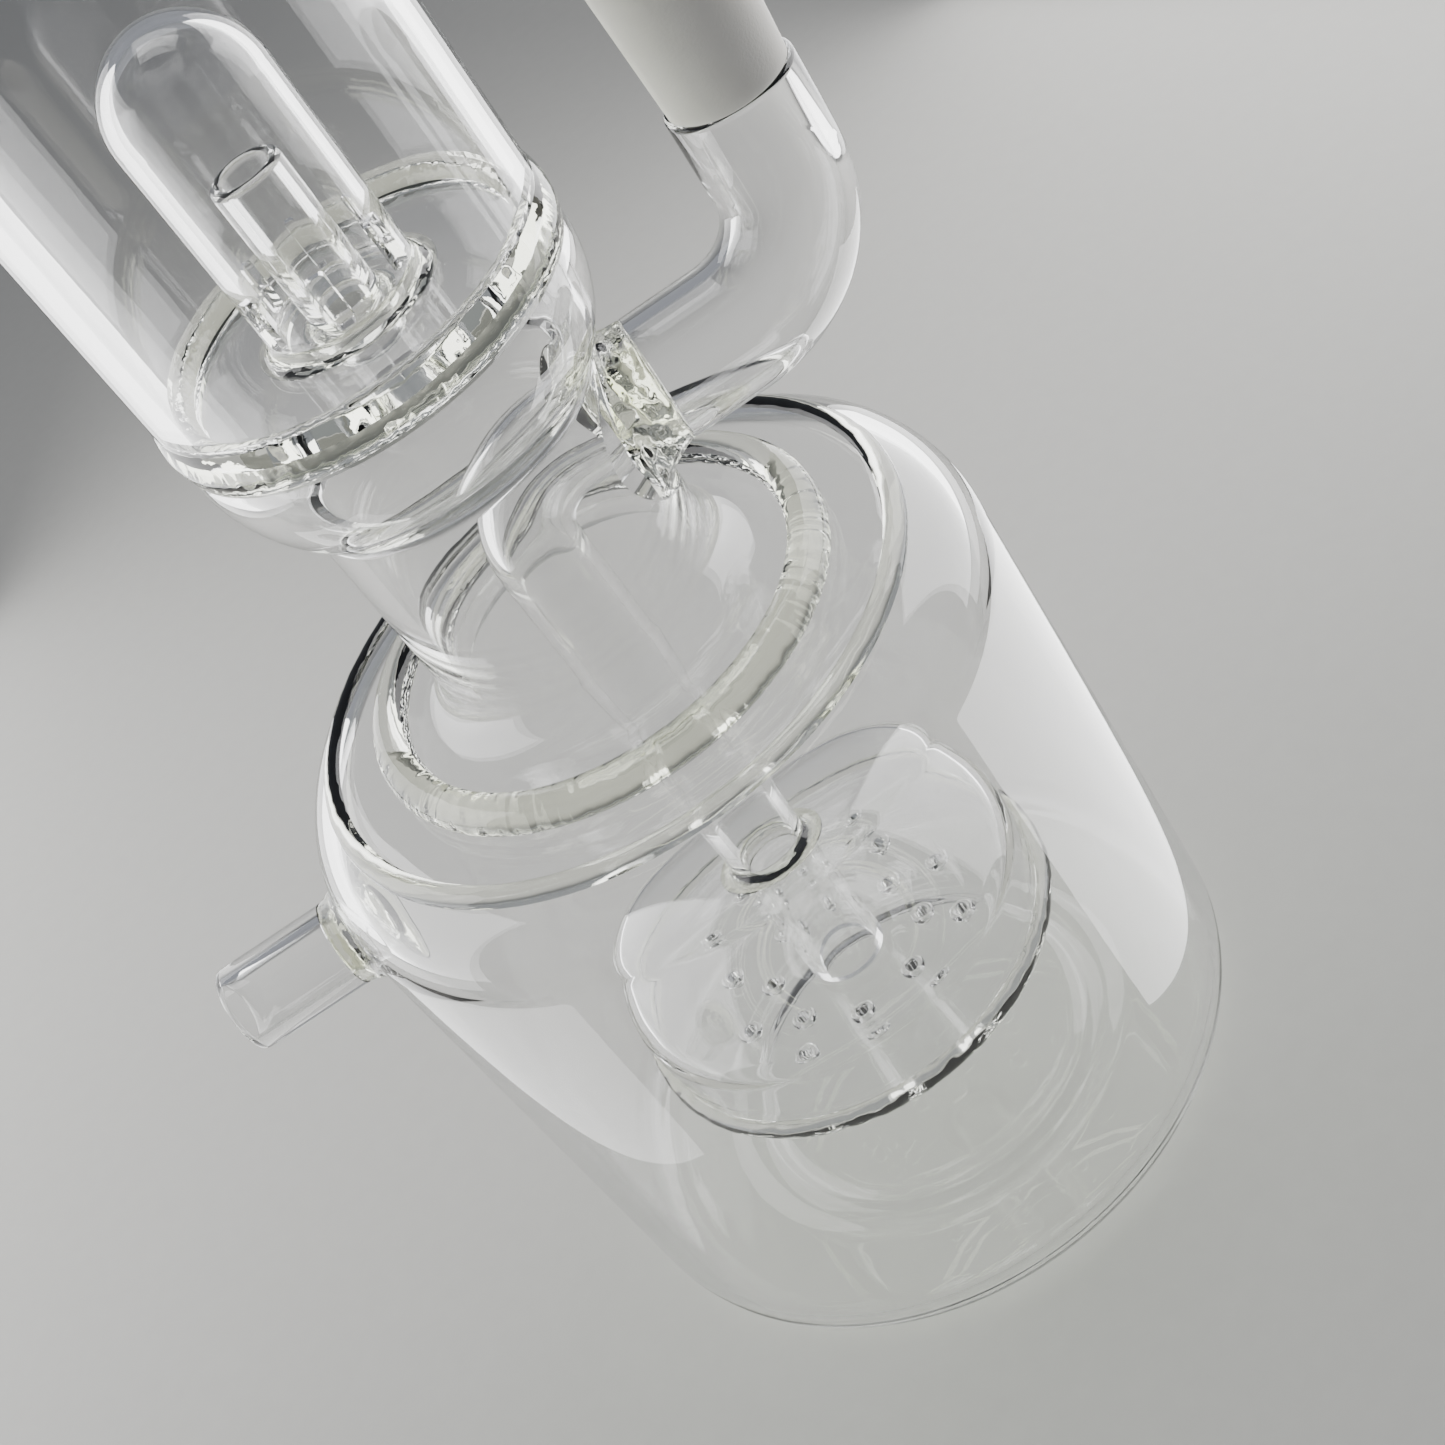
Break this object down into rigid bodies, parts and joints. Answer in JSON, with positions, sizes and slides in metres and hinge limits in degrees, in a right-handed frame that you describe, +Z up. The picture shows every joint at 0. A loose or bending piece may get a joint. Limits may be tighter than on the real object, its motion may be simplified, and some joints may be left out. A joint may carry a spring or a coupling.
{
  "type": "two-stage glass bubbler",
  "caption": "Clear glass bubbler: wide jar with a perforated puck on an axial downstem, open upper tube with a slotted dome over a riser, bent side arm with a ground socket, hose nipple.",
  "frame": {"origin": "centre of the jar's foot ring, on the plane the vessel stands on", "axes": "+Z up along the body axis; +X towards the side arm; the hose nipple points along -X"},
  "size_m": [0.1239, 0.095, 0.25],
  "materials": {
    "clear_glass": "clear flame-worked borosilicate, fire polished",
    "weld_glass": "thick worked weld glass, clear with a faint yellow-green edge tint",
    "ground_glass": "ground, off-white and matt"
  },
  "bodies": {
    "root": {"jar_base": "clear_glass", "jar_wall": "clear_glass", "jar_shoulder": "clear_glass", "shoulder_seam": "weld_glass", "neck_foot": "clear_glass", "neck_weld_ring": "weld_glass", "neck_tube": "clear_glass", "upper_closure": "clear_glass", "floor_disc": "clear_glass", "floor_weld_ring": "weld_glass", "upper_tube": "clear_glass", "mouth_rim": "clear_glass", "dome": "clear_glass", "dome_weld": "weld_glass", "riser_tube": "clear_glass", "riser_weld": "weld_glass", "side_arm_tube": "clear_glass", "ring_seal": "weld_glass", "ground_socket": "ground_glass", "socket_rim": "ground_glass", "downstem": "clear_glass", "puck_body": "clear_glass", "puck_plate": "clear_glass", "puck_rim": "weld_glass", "puck_weld": "weld_glass", "nipple_tube": "clear_glass", "nipple_seal": "weld_glass"}
  },
  "joints": []
}
